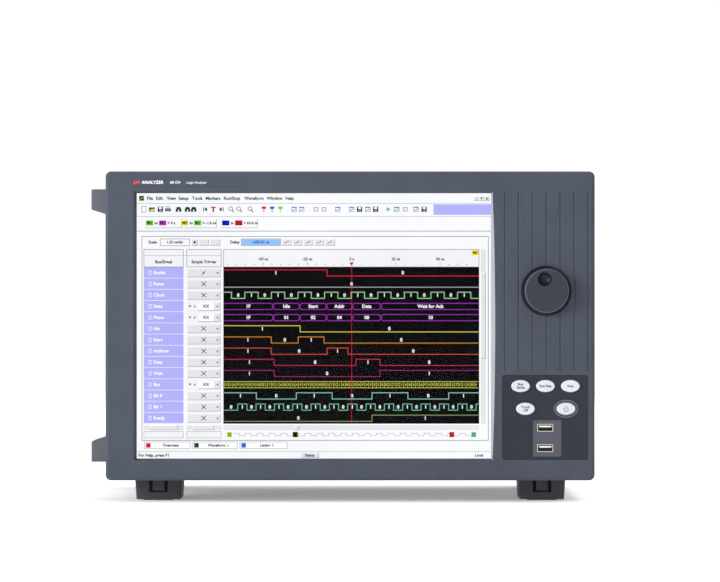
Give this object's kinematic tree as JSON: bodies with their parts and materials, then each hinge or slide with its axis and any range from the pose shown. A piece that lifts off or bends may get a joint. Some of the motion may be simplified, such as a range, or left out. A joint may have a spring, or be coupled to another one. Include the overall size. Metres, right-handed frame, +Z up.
{
  "type": "logic analyzer",
  "caption": "Bench logic analyzer with a large touch display, a selector knob and keypad on its moulded bezel, and a vented metal case on feet.",
  "frame": {"origin": "bottom centre of the whole object, on the bench under it", "axes": "+X right as seen from the front, +Y from the display towards the rear panel, +Z up"},
  "size_m": [0.4432, 0.3304, 0.2882],
  "materials": {
    "bezel_plastic": "textured blue-grey paint on moulded plastic",
    "keypad_plastic": "fine-textured dark plastic",
    "usb_plate_plastic": "fine-textured grey plastic",
    "button_plastic": "smooth light grey plastic",
    "knob_plastic": "satin dark grey plastic",
    "nameplate_film": "printed film",
    "black_rubber": "matt rubber",
    "touch_glass": "clear glass with a faint anti-glare etch",
    "display_cell": "lit display",
    "sheet_steel": "zinc-plated sheet",
    "painted_sheet": "textured grey powder coat",
    "cast_frame": "painted die casting",
    "foot_plastic": "textured black plastic",
    "side_foot_plastic": "textured grey plastic",
    "bright_steel": "nickel-plated steel",
    "brass_nickel": "nickel-plated brass",
    "black_plastic": "glass-filled black plastic",
    "white_plastic": "smooth white plastic",
    "circuit_board": "solder-masked laminate",
    "black_aluminium": "black anodised",
    "drive_aluminium": "cast and machined",
    "strap_rubber": "ribbed moulded strap"
  },
  "bodies": {
    "case": {"front_bezel": "bezel_plastic", "nameplate": "nameplate_film", "display_gasket": "black_rubber", "touch_glass": "touch_glass", "display_cell": "display_cell", "display_backlight": "white_plastic", "display_bracket": "sheet_steel", "encoder_body": "black_plastic", "encoder_nut": "brass_nickel", "power_ring": "usb_plate_plastic", "keypad_plate": "keypad_plastic", "keypad_mat": "white_plastic", "front_panel_board": "circuit_board", "usb_plate": "usb_plate_plastic", "usb_shells": "bright_steel", "usb_tongues": "white_plastic", "front_frame": "cast_frame", "rear_frame": "cast_frame", "corner_rails": "cast_frame", "top_cover": "painted_sheet", "bottom_cover": "painted_sheet", "left_side_cover": "painted_sheet", "right_side_cover": "painted_sheet", "rear_panel": "painted_sheet", "case_screws": "bright_steel", "front_feet": "foot_plastic", "rear_feet": "foot_plastic", "foot_pads": "black_rubber", "side_feet": "side_foot_plastic", "rear_corner_feet": "foot_plastic", "handle_caps": "foot_plastic", "handle_strap": "strap_rubber", "power_inlet": "black_plastic", "inlet_pins": "bright_steel", "pod_socket_shells": "bright_steel", "bnc_jacks": "brass_nickel", "connector_inserts": "white_plastic", "io_shield": "sheet_steel", "rear_ports": "bright_steel", "main_deck": "sheet_steel", "motherboard": "circuit_board", "heatsinks": "black_aluminium", "memory_modules": "circuit_board", "acquisition_board": "circuit_board", "power_supply": "sheet_steel", "hard_drive": "drive_aluminium", "drive_tray": "sheet_steel", "fan_frames": "black_plastic", "fan_guards": "bright_steel"},
    "selector_knob": {"selector_knob": "knob_plastic", "encoder_shaft": "bright_steel"},
    "run_single_button": {"run_single_button": "button_plastic"},
    "run_repeat_button": {"run_repeat_button": "button_plastic"},
    "stop_button": {"stop_button": "button_plastic"},
    "touch_lock_button": {"touch_lock_button": "button_plastic"},
    "power_button": {"power_button": "button_plastic"},
    "left_fan_rotor": {"left_fan_rotor": "black_plastic"},
    "right_fan_rotor": {"right_fan_rotor": "black_plastic"},
    "left_tilt_stand": {"left_tilt_stand": "bright_steel"},
    "right_tilt_stand": {"right_tilt_stand": "bright_steel"}
  },
  "joints": [
    {"name": "knob_turn", "type": "hinge", "parent": "case", "child": "selector_knob", "pos_m": [0.1771, -0.15415, 0.1841], "axis": [0, 1, 0], "continuous": true},
    {"name": "run_single_press", "type": "slide", "parent": "case", "child": "run_single_button", "axis": [0, 1, 0], "range_m": [0, 0.001], "stiffness_N_per_m": 1000},
    {"name": "run_repeat_press", "type": "slide", "parent": "case", "child": "run_repeat_button", "axis": [0, 1, 0], "range_m": [0, 0.001], "stiffness_N_per_m": 1000},
    {"name": "stop_press", "type": "slide", "parent": "case", "child": "stop_button", "axis": [0, 1, 0], "range_m": [0, 0.001], "stiffness_N_per_m": 1000},
    {"name": "touch_lock_press", "type": "slide", "parent": "case", "child": "touch_lock_button", "axis": [0, 1, 0], "range_m": [0, 0.001], "stiffness_N_per_m": 1000},
    {"name": "power_press", "type": "slide", "parent": "case", "child": "power_button", "axis": [0, 1, 0], "range_m": [0, 0.001], "stiffness_N_per_m": 1000},
    {"name": "left_fan_spin", "type": "hinge", "parent": "case", "child": "left_fan_rotor", "pos_m": [-0.1146, 0.11865, 0.2182], "axis": [0, 1, 0], "continuous": true},
    {"name": "right_fan_spin", "type": "hinge", "parent": "case", "child": "right_fan_rotor", "pos_m": [-0.0186, 0.11865, 0.2182], "axis": [0, 1, 0], "continuous": true},
    {"name": "left_stand_fold", "type": "hinge", "parent": "case", "child": "left_tilt_stand", "pos_m": [-0.1624, -0.10115, 0.0052], "axis": [-1, 0, 0], "range_deg": [0, 100]},
    {"name": "right_stand_fold", "type": "hinge", "parent": "case", "child": "right_tilt_stand", "pos_m": [0.1752, -0.10115, 0.0052], "axis": [-1, 0, 0], "range_deg": [0, 100]}
  ]
}
